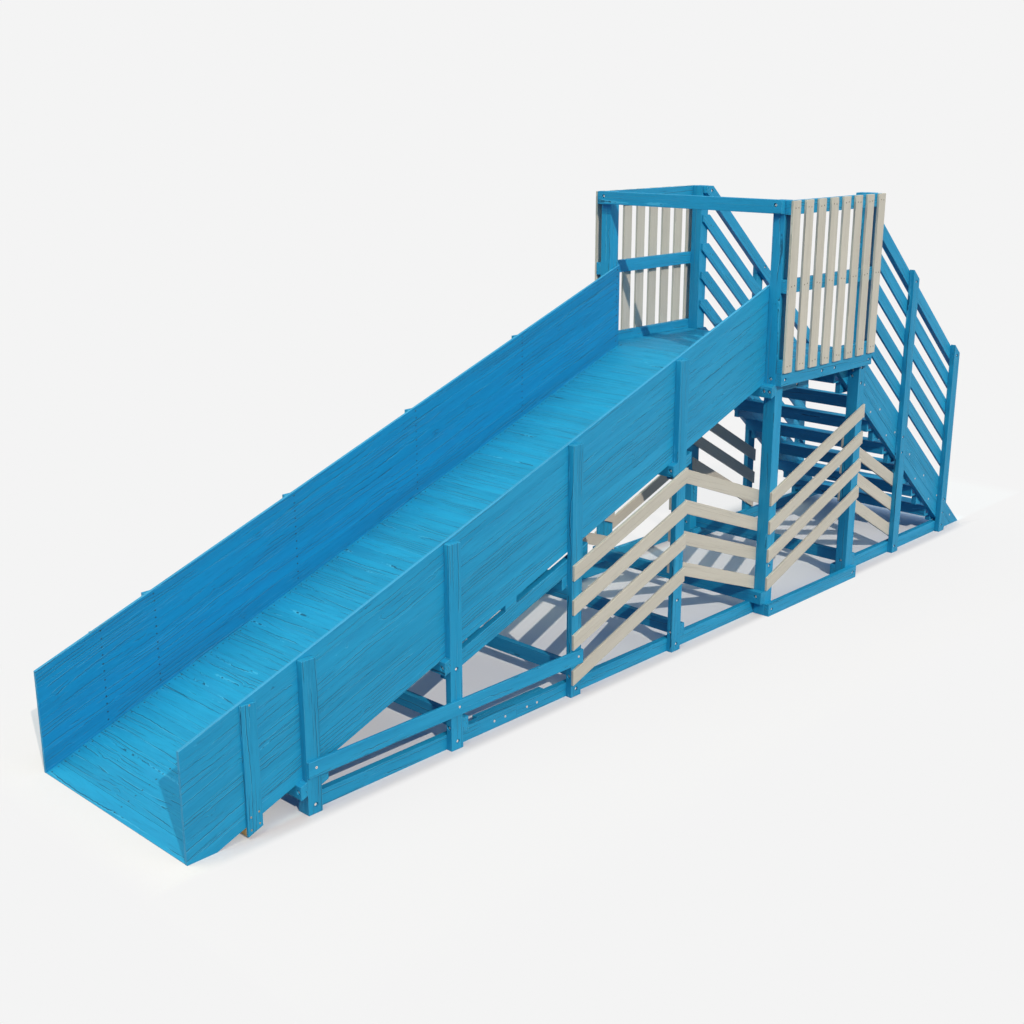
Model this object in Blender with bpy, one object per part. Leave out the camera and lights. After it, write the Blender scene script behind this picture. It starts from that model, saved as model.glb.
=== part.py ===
# Wooden toboggan slide: a sloping chute with board walls, a platform with slatted
# railings and a flight of stairs, all screwed together from planed softwood boards.
# Metres, +Z up. The chute's exit points along -X, the stairs come down along +X and
# the origin is on the ground in the middle. Left and right are those of the rider.
import bpy
import bmesh

gap = 0.0003          # clearance between boards that touch
bite = 0.001          # how far boards of one node reach into each other
length = 8.342        # exit of the chute to the foot of the stairs
exitX = -length / 2

board = 0.095         # width of a planed board
thin = 0.020          # thickness of a clad board
thick = 0.045         # thickness of a beam or slide post
boardGap = 0.003      # between the boards of a tread

# Stations along X: -X face of each post, numbered from the exit.
postX = [exitX + 0.738 + 1.066 * i for i in range(4)]
postTop = [0.898, 1.289, 1.681, 2.070]
towerX = [0.830, 2.000]
stairPostX = [2.863, 3.710]
towerEnd = towerX[1] + board
stairPostTop = [2.416, 1.701]

# Faces along Y, as distances from the middle plane.
wallIn = 0.714
wallOut = 0.734
postOut = 0.779
towerIn = 0.735
towerOut = 0.830
towerHigh = 3.060
beamIn = wallOut - thick

deckTop = 1.872
deckUnder = deckTop - thin
joistUnder = deckUnder - board
joistX = [towerX[0] + board, 1.375, 1.820]
sideBeamEnd = 1.429
sideBeamHigh = 0.085
platformRails = [deckUnder, 2.420, 2.963]
topBeamUnder = 2.969

# Chute lines: height at the exit and rise for each metre along X.
chuteSlope = 0.3665
wallTopExit = 0.632
wallUnderExit = -0.066
floorTopExit = 0.005
plumbFloorBoard = 0.0213
joistDrop = 0.080
exitJoistDrop = 0.050
battenX = exitX + 0.364
battenTop = 0.760

spliceSlope = 0.358
spliceUnder = 0.452
spliceHigh = 0.101
spliceEnd = -1.102
bridgeX = [-1.859, -1.763]
blockDrop = 0.045
blockHigh = 0.080
blockReach = {0: 0.179, 3: 0.215}
guardUnder = 0.2275
baseSpliceX = [-2.067, -1.467]   # board behind the butt joint of each base rail

# Stair lines: a whole number of equal treads from the deck to the ground.
rise = 0.2425
run = 0.2865
stairSlope = rise / run
treadCount = 7
treadDeep = 4 * board + 3 * boardGap
firstTreadX = 1.888
stringerEndX = joistX[2] + thick
stringerTop = 1.107
stringerUnder = 0.851
railTop = 2.409
railPitch = 0.2355
railHigh = 0.1247
railStartX = 2.012
railCount = 6         # the handrail, four boards and the infill board at the foot
cleatX = 0.084

# Slats: plumb height, slope and the lower edges at the post they start from.
slatHigh = 0.101
slatSlope = 0.365
lowSlats = [0.804, 0.572, 0.334, 0.090]
towerSlatSlope = 0.376
towerSlats = [0.860, 0.641, 0.421, 0.199]
innerSlats = [0.866, 0.648, 0.420, 0.192]
stairSlats = [1.080, 0.865, 0.637]
stairSlatSlope = -0.563
stairSlatHigh = 0.109
railingSlats = 8
slatPitch = 0.1666
slatStart = towerX[0] + 0.004
slatSill = 0.002      # upright slats start this far above the rim
slatHead = 0.001      # and end this far below the post tops
padInset = 0.020
padTrim = 0.010

sides = [("left", -1), ("right", 1)]


def clearScene():
    for item in list(bpy.data.objects):
        bpy.data.objects.remove(item, do_unlink=True)


def woodMaterial(name, colour, roughness):
    material = bpy.data.materials.new(name)
    material.use_nodes = True
    shader = material.node_tree.nodes["Principled BSDF"]
    shader.inputs["Base Color"].default_value = (*colour, 1.0)
    shader.inputs["Roughness"].default_value = roughness
    shader.inputs["Metallic"].default_value = 0.0
    material.diffuse_color = (*colour, 1.0)
    return material


def box(x0, x1, z0, z1):
    return [(x0, z0), (x1, z0), (x1, z1), (x0, z1)]


def sloped(x0, x1, under, high, slope):
    # Plumb-ended board: "under" is the height of its lower edge at x0.
    far = slope * (x1 - x0)
    return [(x0, under), (x1, under + far), (x1, under + far + high), (x0, under + high)]


def keepSide(outline, x, z, nx, nz):
    # Cuts a convex outline along the line through (x, z) and keeps the side that n points to.
    kept = []
    for i, (ax, az) in enumerate(outline):
        bx, bz = outline[(i + 1) % len(outline)]
        da = (ax - x) * nx + (az - z) * nz
        db = (bx - x) * nx + (bz - z) * nz
        if da >= 0:
            kept.append((ax, az))
        if da * db < 0:
            t = da / (da - db)
            kept.append((ax + t * (bx - ax), az + t * (bz - az)))
    return kept


def above(outline, z):
    return keepSide(outline, 0, z, 0, 1)


def below(outline, z):
    return keepSide(outline, 0, z, 0, -1)


def inset(outline, amount):
    # Moves every edge inward, so that boards that share an edge line keep a gap.
    result = []
    count = len(outline)
    for i in range(count):
        (ax, az), (bx, bz), (cx, cz) = outline[i - 1], outline[i], outline[(i + 1) % count]
        ux, uz = bx - ax, bz - az
        vx, vz = cx - bx, cz - bz
        ul = (ux * ux + uz * uz) ** 0.5
        vl = (vx * vx + vz * vz) ** 0.5
        nx, nz = -uz / ul, ux / ul
        mx, mz = -vz / vl, vx / vl
        share = amount / (1 + nx * mx + nz * mz)
        result.append((bx + share * (nx + mx), bz + share * (nz + mz)))
    return result


def addPrism(mesh, outline, y0, y1):
    # A board: its side view in X and Z, from one Y to another.
    half = gap / 2
    low, high = min(y0, y1) + half, max(y0, y1) - half
    trimmed = inset(outline, half)
    front = [mesh.verts.new((x, low, z)) for x, z in trimmed]
    back = [mesh.verts.new((x, high, z)) for x, z in trimmed]
    mesh.faces.new(front)
    mesh.faces.new(list(reversed(back)))
    for i in range(len(front)):
        j = (i + 1) % len(front)
        mesh.faces.new([front[j], front[i], back[i], back[j]])


def addObject(name, prisms, material):
    mesh = bmesh.new()
    for outline, y0, y1 in prisms:
        addPrism(mesh, outline, y0, y1)
    bmesh.ops.recalc_face_normals(mesh, faces=mesh.faces)
    data = bpy.data.meshes.new(name)
    mesh.to_mesh(data)
    mesh.free()
    item = bpy.data.objects.new(name, data)
    item.data.materials.append(material)
    bpy.context.scene.collection.objects.link(item)
    return item


def fusedObject(name, groups, material):
    # The first group of boards is joined with each further group, so all are one body.
    item = addObject(name, groups[0], material)
    for number, prisms in enumerate(groups[1:]):
        helper = addObject(f"{name}_join_{number}", prisms, material)
        helper.hide_render = True
        helper.hide_viewport = True
        helper.display_type = "WIRE"
        join = item.modifiers.new(f"Join {number}", "BOOLEAN")
        join.operation = "UNION"
        join.solver = "EXACT"
        join.object = helper
    return item


def chuteLine(exitHeight, x):
    return exitHeight + chuteSlope * (x - exitX)


def stairLine(height, x):
    return height - stairSlope * (x - stairPostX[0])


def chuteWall(name, side, material):
    endX = towerX[0] + board
    outline = [
        (exitX, wallUnderExit),
        (endX, chuteLine(wallUnderExit, endX)),
        (endX, chuteLine(wallTopExit, endX)),
        (exitX, wallTopExit),
    ]
    addObject(name, [(above(outline, 0), side * wallIn, side * wallOut)], material)


def chuteFloor(name, material):
    endX = towerX[0] + board
    high = chuteLine(floorTopExit, endX)
    boards = [
        (exitX, floorTopExit - plumbFloorBoard),
        (endX, high - plumbFloorBoard),
        (endX, high),
        (exitX, floorTopExit),
    ]
    runner = [
        (exitX, wallUnderExit),
        (endX, chuteLine(wallUnderExit, endX)),
        (endX, high - plumbFloorBoard + bite),
        (exitX, floorTopExit - plumbFloorBoard + bite),
    ]
    runners = [(above(runner, 0), side * wallIn, side * (wallIn - thick)) for _, side in sides]
    runners.append((above(runner, 0), -thick / 2, thick / 2))
    fusedObject(name, [[(above(boards, 0), -wallIn, wallIn)], runners], material)


def battens(material):
    for word, side in sides:
        under = chuteLine(wallUnderExit, battenX) - exitJoistDrop
        outline = [
            (battenX, under),
            (battenX + board, under + chuteSlope * board),
            (battenX + board, battenTop),
            (battenX, battenTop),
        ]
        addObject(f"exit_batten_{word}", [(outline, side * wallOut, side * (wallOut + thin))], material)


def slidePost(word, side, number, slats, material):
    # Plain post, or a post joined with the slats that it carries.
    x = postX[number]
    name = f"slide_post_{number + 1}_{word}"
    post = (box(x, x + board, 0, postTop[number]), side * wallOut, side * postOut)
    pieces = []
    if number in blockReach:
        under = chuteLine(wallUnderExit, x) - blockDrop - blockHigh
        outline = above(sloped(x, x + blockReach[number], under, blockHigh, chuteSlope), board)
        pieces.append([(outline, side * (wallOut + bite), side * beamIn)])
    if slats == "outer":
        far = postX[3] + board
        outlines = [sloped(x, far, z, slatHigh, slatSlope) for z in lowSlats]
        pieces.append([(o, side * postOut, side * (postOut + thin)) for o in outlines])
        pieces.append(slatPads(x, lowSlats, slatSlope, side, postOut))
    if slats == "inner":
        far = towerX[0]
        outlines = [
            sloped(x, far + board, z - slatSlope * (x - far), slatHigh, -slatSlope) for z in innerSlats
        ]
        pieces.append([(o, side * (wallOut + bite), side * wallIn) for o in outlines])
    fusedObject(name, [[post]] + pieces, material)


def slatPads(x, heights, slope, side, face):
    # Thin pads where slats lie flat on a post: they join the two solids.
    pads = []
    for z in heights:
        low = z + slope * board + padTrim
        outline = box(x + padInset, x + board - padInset, low, z + slatHigh - padTrim)
        pads.append((outline, side * (face - bite), side * (face + bite)))
    return pads


def towerPosts(material):
    for word, side in sides:
        front = box(towerX[0], towerX[0] + board, 0, towerHigh)
        addObject(f"tower_post_front_{word}", [(front, side * towerIn, side * towerOut)], material)
        back = box(towerX[1], towerEnd, 0, towerHigh)
        slats = [sloped(towerX[0], towerEnd, z, slatHigh, towerSlatSlope) for z in towerSlats]
        atPost = [z + towerSlatSlope * (towerX[1] - towerX[0]) for z in towerSlats]
        groups = [
            [(back, side * towerIn, side * towerOut)],
            [(o, side * towerOut, side * (towerOut + thin)) for o in slats],
            slatPads(towerX[1], atPost, towerSlatSlope, side, towerOut),
        ]
        fusedObject(f"tower_post_back_{word}", groups, material)


def chuteJoists(material):
    for number, x in enumerate(postX + [towerX[0]]):
        left = x - thick
        reach = towerOut if number == 4 else postOut
        under = chuteLine(wallUnderExit, left) - joistDrop
        outline = sloped(left, x, under, joistDrop, chuteSlope)
        if number == 2:
            # Under the splice beams, between the posts.
            reach = wallOut
            under = spliceUnder + spliceSlope * (left - postX[1]) - joistDrop
            outline = sloped(left, x, under, joistDrop, spliceSlope)
        addObject(f"chute_joist_{number + 1}", [(outline, -reach, reach)], material)


def exitJoist(material):
    under = chuteLine(wallUnderExit, battenX) - exitJoistDrop
    outline = sloped(battenX, battenX + board, under, exitJoistDrop, chuteSlope)
    addObject("exit_joist", [(outline, -wallOut, wallOut)], material)


def spliceBeams(material):
    for word, side in sides:
        outline = sloped(postX[1], spliceEnd, spliceUnder, spliceHigh, spliceSlope)
        under = spliceUnder + spliceHigh / 2 + spliceSlope * (bridgeX[0] - postX[1])
        bridge = [
            (bridgeX[0], under),
            (bridgeX[1], under),
            (bridgeX[1], chuteLine(wallUnderExit, bridgeX[1])),
            (bridgeX[0], chuteLine(wallUnderExit, bridgeX[0])),
        ]
        groups = [[(outline, side * beamIn, side * wallOut)], [(bridge, side * beamIn, side * wallOut)]]
        fusedObject(f"splice_beam_{word}", groups, material)


def guardBoards(material):
    for word, side in sides:
        outline = box(postX[0], postX[2] + board, guardUnder, guardUnder + board)
        addObject(f"guard_board_{word}", [(outline, side * postOut, side * (postOut + thin))], material)


def baseRails(material):
    stairRailEnd = stairPostX[1] + board
    stairRail = box(towerX[1], stairRailEnd, 0, board)
    footX = stairPostX[0] + stringerUnder / stairSlope
    stairRail = keepSide(stairRail, footX, 0, -stairSlope, -1)
    splice = box(baseSpliceX[0], baseSpliceX[1], 0, board)
    for word, side in sides:
        slideRail = box(postX[0], towerX[0] + board, 0, board)
        addObject(f"slide_base_rail_{word}", [(slideRail, side * beamIn, side * wallOut)], material)
        towerRail = box(towerX[0], towerEnd, 0, board)
        outer = side * (towerOut + thick)
        addObject(f"tower_base_rail_{word}", [(towerRail, side * towerOut, outer)], material)
        addObject(f"stair_base_rail_{word}", [(stairRail, side * beamIn, side * wallOut)], material)
        addObject(f"base_splice_{word}", [(splice, side * (beamIn - thick), side * beamIn)], material)


def baseBeams(material):
    stations = [
        (postX[1] + board, postOut),
        (postX[2] + board, postOut),
        (postX[3] + board, postOut),
        (towerX[0] - thick, towerOut),
        (towerEnd, towerOut),
    ]
    for number, (x, reach) in enumerate(stations):
        outline = box(x, x + thick, board, 2 * board)
        addObject(f"base_beam_{number + 1}", [(outline, -reach, reach)], material)


def towerSides(blue, cream):
    rimTop = platformRails[0]
    for word, side in sides:
        outer = side * (towerOut + thick)
        rim = box(towerX[0], towerEnd, rimTop - board, rimTop)
        addObject(f"platform_rim_{word}", [(rim, side * towerOut, outer)], blue)
        bars = []
        for z in platformRails:
            bars.append((box(towerX[0], towerEnd, z, z + board), side * towerOut, outer + side * bite))
        slats = []
        for number in range(railingSlats):
            x = slatStart + slatPitch * number
            outline = box(x, x + board, rimTop + slatSill, towerHigh - slatHead)
            slats.append((outline, outer, outer + side * thin))
        fusedObject(f"platform_railing_{word}", [bars, slats], cream)


def topBeam(material):
    outline = box(towerX[0] - thick, towerX[0], topBeamUnder, topBeamUnder + board)
    addObject("top_beam", [(outline, -towerOut, towerOut)], material)


def deck(material):
    boards = box(towerX[0] + board, towerX[1], deckUnder, deckTop)
    joists = [(box(x, x + thick, joistUnder, deckUnder + bite), -towerOut, towerOut) for x in joistX]
    fusedObject("platform_deck", [[(boards, -towerOut, towerOut)], joists], material)
    for word, side in sides:
        beam = box(towerX[0], sideBeamEnd, joistUnder - sideBeamHigh, joistUnder)
        addObject(f"side_beam_{word}", [(beam, side * beamIn, side * wallOut)], material)


def stringers(material):
    start = stringerEndX
    end = exitX + length
    outline = [
        (start, stairLine(stringerUnder, start)),
        (end, stairLine(stringerUnder, end)),
        (end, stairLine(stringerTop, end)),
        (start, stairLine(stringerTop, start)),
    ]
    outline = below(above(outline, 0), deckUnder)
    for word, side in sides:
        cleats = []
        for number in range(1, treadCount + 1):
            x = firstTreadX + run * (number - 1) + cleatX
            high = deckTop - rise * number - thin
            cleat = box(x, x + treadDeep - cleatX, max(high, 2 * board) - board, high)
            cleats.append((cleat, side * (beamIn + bite), side * (beamIn - thick)))
        fusedObject(f"stair_stringer_{word}", [[(outline, side * beamIn, side * wallOut)], cleats], material)


def treads(material):
    for number in range(1, treadCount + 1):
        x = firstTreadX + run * (number - 1)
        top = deckTop - rise * number
        outline = [
            (x - thin, top - thin),
            (x + treadDeep, top - thin),
            (x + treadDeep, top),
            (x, top),
            (x, top - thin + board),
            (x - thin, top - thin + board),
        ]
        addObject(f"tread_{number}", [(outline, -beamIn, beamIn)], material)


def stairRailings(material):
    end = stairPostX[1] + board
    for word, side in sides:
        posts = []
        for x, top in zip(stairPostX, stairPostTop):
            outline = [(x, 0), (x + board, 0), (x + board, top - stairSlope * board), (x, top)]
            posts.append((outline, side * wallOut, side * postOut))
        boards = []
        for number in range(railCount):
            level = railTop - railPitch * number
            deep = wallIn if number else beamIn
            outline = [
                (railStartX, stairLine(level, railStartX) - railHigh),
                (end, stairLine(level, end) - railHigh),
                (end, stairLine(level, end)),
                (railStartX, stairLine(level, railStartX)),
            ]
            outline = below(outline, stairLine(level, towerEnd))
            boards.append((outline, side * (wallOut + bite), side * deep))
        slats = []
        for z in stairSlats:
            outline = sloped(towerX[1], stairPostX[0] + board, z, stairSlatHigh, stairSlatSlope)
            slats.append((outline, side * (wallOut + bite), side * wallIn))
        fusedObject(f"stair_railing_{word}", [posts, boards, slats], material)


def build():
    clearScene()
    blue = woodMaterial("blue stained pine", (0.028, 0.290, 0.520), 0.55)
    deepBlue = woodMaterial("blue stained beam", (0.022, 0.245, 0.455), 0.60)
    cream = woodMaterial("cream painted slat", (0.600, 0.565, 0.455), 0.60)
    bare = woodMaterial("bare spruce", (0.560, 0.420, 0.210), 0.70)
    for word, side in sides:
        chuteWall(f"chute_wall_{word}", side, blue)
        slidePost(word, side, 0, "none", blue)
        slidePost(word, side, 1, "none", blue)
        slidePost(word, side, 2, "outer", blue)
        slidePost(word, side, 3, "inner", blue)
    chuteFloor("chute_floor", blue)
    battens(blue)
    towerPosts(blue)
    chuteJoists(deepBlue)
    exitJoist(bare)
    spliceBeams(blue)
    guardBoards(blue)
    baseRails(blue)
    baseBeams(deepBlue)
    towerSides(blue, cream)
    topBeam(blue)
    deck(blue)
    stringers(blue)
    treads(blue)
    stairRailings(blue)


build()
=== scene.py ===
import math
import random
import bpy
import bmesh
from mathutils import Matrix, Vector


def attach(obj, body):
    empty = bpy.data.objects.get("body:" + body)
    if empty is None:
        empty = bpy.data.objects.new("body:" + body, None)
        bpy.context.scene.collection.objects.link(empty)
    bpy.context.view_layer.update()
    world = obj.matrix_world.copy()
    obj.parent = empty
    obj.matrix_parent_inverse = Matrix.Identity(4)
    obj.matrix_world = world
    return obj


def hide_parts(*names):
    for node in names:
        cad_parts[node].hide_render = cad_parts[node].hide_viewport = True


# Toboggan slide of blue stained spruce boards with cream painted slats.
# Metres, +Z up, exit of the chute at -X, near side of the photo at -Y.
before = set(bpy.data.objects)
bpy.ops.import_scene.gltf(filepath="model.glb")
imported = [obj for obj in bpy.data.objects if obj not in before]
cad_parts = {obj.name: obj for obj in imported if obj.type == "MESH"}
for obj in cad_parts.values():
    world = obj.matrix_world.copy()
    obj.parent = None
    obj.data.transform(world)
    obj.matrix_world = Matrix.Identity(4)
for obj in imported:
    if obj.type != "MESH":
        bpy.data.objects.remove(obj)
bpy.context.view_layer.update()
dice = random.Random(4711)
sides = [("left", -1), ("right", 1)]

sizes = {
    "exitX": -4.171, "length": 8.342,
    "board": 0.095, "thin": 0.020, "thick": 0.045,   # planed softwood stock
    "gap": 0.0003,                                    # between boards that touch
    "wallIn": 0.714, "wallOut": 0.734, "beamIn": 0.689, "postOut": 0.779,
    "towerIn": 0.735, "towerOut": 0.830, "railOut": 0.875,
    "postX": [-3.433, -2.367, -1.301, -0.235], "postTop": [0.898, 1.289, 1.681, 2.070],
    "towerX": [0.830, 2.000], "towerEnd": 2.095, "towerHigh": 3.060,
    "stairX": [2.863, 3.710], "stairTop": [2.416, 1.701],
    "deckTop": 1.872, "deckUnder": 1.852,
}
exitX, board, thin, thick, gap = (sizes[k] for k in ("exitX", "board", "thin", "thick", "gap"))
wallIn, wallOut, beamIn, postOut = (sizes[k] for k in ("wallIn", "wallOut", "beamIn", "postOut"))
towerIn, towerOut, railOut, towerEnd = (sizes[k] for k in ("towerIn", "towerOut", "railOut", "towerEnd"))
postX, towerX, stairX = (sizes[k] for k in ("postX", "towerX", "stairX"))
deckTop, deckUnder = sizes["deckTop"], sizes["deckUnder"]

# heights of the chute's lines at its exit, and of the stairs' lines at their upper post
chute = {"slope": 0.3665, "wallTop": 0.632, "wallUnder": -0.066, "floorTop": 0.005, "floorPlumb": 0.0213}
stair = {"rise": 0.2425, "run": 0.2865, "firstX": 1.888, "count": 7,
         "stringerTop": 1.107, "stringerUnder": 0.851}
stairSlope = stair["rise"] / stair["run"]
chuteAlong = Vector((1, 0, chute["slope"])).normalized()
stairAlong = Vector((1, 0, -stairSlope)).normalized()
alongX, alongY, alongZ = Vector((1, 0, 0)), Vector((0, 1, 0)), Vector((0, 0, 1))


def hexColour(code):
    # sRGB hex to the linear values that Blender's sockets hold
    parts = [int(code[i:i + 2], 16) / 255 for i in (1, 3, 5)]
    return [p / 12.92 if p <= 0.04045 else ((p + 0.055) / 1.055) ** 2.4 for p in parts] + [1.0]


def addNode(tree, kind, inputs=None, **settings):
    # inputs: socket name or number -> a value or another node's output
    node = tree.nodes.new(kind)
    for key, value in settings.items():
        setattr(node, key, value)
    for key, value in (inputs or {}).items():
        if isinstance(value, bpy.types.NodeSocket):
            tree.links.new(value, node.inputs[key])
        else:
            node.inputs[key].default_value = value
    return node


def newMaterial(name):
    material = bpy.data.materials.new(name)
    material.use_nodes = True
    tree = material.node_tree
    tree.nodes.clear()
    out = addNode(tree, "ShaderNodeOutputMaterial")
    return material, tree, out


def woodMaterial(name, look):
    # Solid wood: growth rings round a pith beside each board, cut open by its faces.
    material, tree, out = newMaterial(name)
    grain, tone, rim = (addNode(tree, "ShaderNodeAttribute", attribute_name=name).outputs[kind]
                        for name, kind in (("grain", "Vector"), ("tone", "Fac"), ("rim", "Fac")))

    def vectors(operation, a, b):
        return addNode(tree, "ShaderNodeVectorMath", {0: a, 1: b}, operation=operation).outputs[0]

    def stretched(along, across):
        return vectors("MULTIPLY", grain, (along, across, across))

    def noise(name, detail, rough=0.5, out="Fac"):
        # repeats per metre, along and across the board
        node = addNode(tree, "ShaderNodeTexNoise", {
            "Vector": stretched(look[f"{name}Along"], look[f"{name}Across"]), "Scale": 1.0,
            "Detail": detail, "Roughness": rough})
        return node.outputs[out]

    def maths(operation, a, b=0.0, c=0.0):
        return addNode(tree, "ShaderNodeMath", {0: a, 1: b, 2: c}, operation=operation).outputs[0]

    def ramp(value, low, high, outLow=0.0, outHigh=1.0):
        node = addNode(tree, "ShaderNodeMapRange", {"Value": value, "From Min": low, "From Max": high,
                                                    "To Min": outLow, "To Max": outHigh},
                       interpolation_type="SMOOTHSTEP")
        return node.outputs["Result"]

    def stain(under, share, colourName):
        node = addNode(tree, "ShaderNodeMix", {"Factor": share, 6: under, 7: hexColour(look[colourName])},
                       data_type="RGBA")
        return node.outputs[2]

    def offset(vector, field, amount):
        # shifts a place by a noise colour taken round its middle value
        field = vectors("SUBTRACT", field, (0.5, 0.5, 0.5))
        field = addNode(tree, "ShaderNodeVectorMath", {0: field, "Scale": amount}, operation="SCALE")
        return vectors("ADD", vector, field.outputs[0])

    # knots push the rings aside and leave a dark eye
    knotMap = addNode(tree, "ShaderNodeTexVoronoi", {
        "Vector": stretched(look["knotsAlong"], look["knotsAcross"]), "Scale": 1.0, "Randomness": 1.0})
    knotAt = vectors("DIVIDE", knotMap.outputs["Position"],
                     (look["knotsAlong"], look["knotsAcross"], look["knotsAcross"]))
    knotFar = addNode(tree, "ShaderNodeVectorMath", {0: knotAt, 1: grain},
                      operation="DISTANCE").outputs["Value"]
    knotNear = ramp(knotFar, look["knotRadius"], look["knotRadius"] * 5, 1.0, 0.0)
    knotEye = ramp(knotFar, look["knotRadius"] * 0.6, look["knotRadius"], 1.0, 0.0)

    # rings: slow sway gives flame figures, a quick small one the ragged line of torn grain
    bent = offset(grain, noise("sway", 2.0, 0.45, "Color"), look["sway"])
    bent = offset(bent, noise("rag", 1.0, 0.5, "Color"), look["rag"])
    _, across, through = addNode(tree, "ShaderNodeSeparateXYZ", {0: bent}).outputs
    squares = maths("ADD", maths("MULTIPLY", across, across), maths("MULTIPLY", through, through))
    radius = maths("SQRT", squares)
    slant = maths("DIVIDE", maths("ABSOLUTE", across), radius)   # 0 where rings lie flat in the face
    cut = ramp(slant, *look["flatFade"], look["flatShows"], 1.0)
    slant = maths("MAXIMUM", slant, look["slantLeast"])
    radius = maths("MULTIPLY_ADD", knotNear, look["knotPush"], radius)
    ring = maths("SUBTRACT", maths("FRACT", maths("DIVIDE", radius, look["ringWidth"])), 0.5)
    apart = maths("DIVIDE", maths("MULTIPLY", ring, look["ringWidth"]), slant)   # metres on the face
    comes = maths("MULTIPLY", ramp(noise("fade", 2.0), *look["fadeRange"]), cut)
    wide = look["lineWide"]
    core, rimOut = wide * 0.3, wide * 0.8   # full strength inside the first, nothing beyond the second
    groove = maths("MULTIPLY", ramp(maths("ABSOLUTE", apart), core, rimOut, 1.0, 0.0), comes)
    lipAt = maths("ABSOLUTE", maths("SUBTRACT", apart, wide))
    ridgeAndHighlight = maths("MULTIPLY", ramp(lipAt, core, rimOut, 1.0, 0.0), comes)
    bands = noise("band", 4.0, 0.55)
    fibre = noise("fibre", 2.0, 0.6)
    patch = noise("patch", 3.0, 0.6)

    # colour: bands of stain, cloudy patches, dark lines of late wood deepened as painted shade of
    # their grooves, a light lip that is a painted highlight, worn edges
    colour = stain(hexColour(look["light"]), ramp(bands, *look["bandRange"]), "mid")
    colour = stain(colour, maths("MULTIPLY", ramp(patch, *look["patchRange"]), look["patch"]), "pale")
    colour = stain(colour, maths("MULTIPLY", ramp(fibre, *look["fibreRange"]), look["fibre"]), "dark")
    # the light lip is a painted highlight on the lit side of each groove
    colour = stain(colour, maths("MULTIPLY", ridgeAndHighlight, look["lipHighlight"]), "lipHighlightColour")
    # the dark line is late wood's own colour, deepened as painted shade in its groove
    colour = stain(colour, maths("MULTIPLY", groove, look["line"]), "dark")
    colour = stain(colour, maths("MULTIPLY", knotEye, look["knot"]), "dark")
    colour = stain(colour, maths("MULTIPLY", rim, look["edge"]), "edgeColour")
    value = ramp(tone, 0.0, 1.0, 1.0 - look["tone"], 1.0 + look["tone"])
    colour = addNode(tree, "ShaderNodeHueSaturation", {"Color": colour, "Value": value,
                                                       "Hue": 0.5, "Saturation": 1.0, "Fac": 1.0}).outputs[0]

    # relief: lines sunk, their lips and the fibre raised, knots a little hollow
    height = maths("MULTIPLY_ADD", groove, -1.0, maths("MULTIPLY", bands, look["bandRelief"]))
    height = maths("MULTIPLY_ADD", ridgeAndHighlight, look["lipRelief"], height)
    height = maths("MULTIPLY_ADD", fibre, look["fibreRelief"], height)
    height = maths("MULTIPLY_ADD", knotEye, -look["knotRelief"], height)
    bump = addNode(tree, "ShaderNodeBump", {"Height": height, "Strength": look["relief"],
                                            "Distance": look["reliefDeep"]}).outputs[0]
    rough = ramp(maths("ADD", bands, maths("MULTIPLY", groove, 0.3)), 0.3, 0.9,
                 look["roughness"] + look["roughSpread"][0], look["roughness"] + look["roughSpread"][1])
    shader = addNode(tree, "ShaderNodeBsdfPrincipled", {"Base Color": colour, "Roughness": rough,
                                                        "Normal": bump, "IOR": look["ior"],
                                                        "Specular IOR Level": look["shine"]})
    tree.links.new(shader.outputs[0], out.inputs["Surface"])
    return material


# Spruce planed and stained translucent blue: early wood takes the stain lighter, and late wood
# reads as dark teal lines, deepened as painted shade of their sunk grooves, with a light lip beside
# each that is a painted highlight on the groove's lit side. Lengths are in
# metres and Along and Across are repeats per metre. Rings of real spruce are 2 to 4 mm wide and
# its fibre bundles about 1 mm; they are drawn 18 mm and 6 mm wide, since a pixel of the picture
# is 5 mm. Bands of stain are as wide as a brush stroke, about 55 mm.
blueLook = {
    "light": "#1890bc", "mid": "#1085b1", "dark": "#063e5a", "pale": "#2f84b3", "edgeColour": "#4698c0",
    "lipHighlightColour": "#4bb2d8", "lipHighlight": 0.50,
    "ringWidth": 0.018, "lineWide": 0.0026, "line": 0.74,
    "sway": 0.060, "swayAlong": 1.3, "swayAcross": 5.0, "rag": 0.0050, "ragAlong": 30.0, "ragAcross": 14.0,
    "flatFade": (0.08, 0.34), "flatShows": 0.2, "slantLeast": 0.20,
    "fadeAlong": 1.3, "fadeAcross": 44.0, "fadeRange": (0.48, 0.57),
    "bandAlong": 1.1, "bandAcross": 18.0, "bandRange": (0.25, 0.75),
    "fibre": 0.20, "fibreAlong": 9.0, "fibreAcross": 170.0, "fibreRange": (0.50, 0.74),
    "patch": 0.12, "patchAlong": 3.5, "patchAcross": 9.0, "patchRange": (0.50, 0.72),
    "knotsAlong": 1.6, "knotsAcross": 7.0, "knotRadius": 0.010, "knotPush": 0.010, "knot": 0.25,
    "tone": 0.05, "edge": 0.55, "relief": 1.0, "reliefDeep": 0.0016,
    "bandRelief": 0.15, "lipRelief": 0.4, "fibreRelief": 0.4, "knotRelief": 0.5,
    "roughness": 0.55, "roughSpread": (-0.07, 0.09), "ior": 1.5, "shine": 0.4,
}
# The same stain in a deeper, bluer tone on the inner sides of the chute walls: painted shade,
# standing in for the dimmer light inside the chute.
innerShadeLook = dict(blueLook, light="#0c87bb", mid="#087db0", pale="#257bb2")
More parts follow.
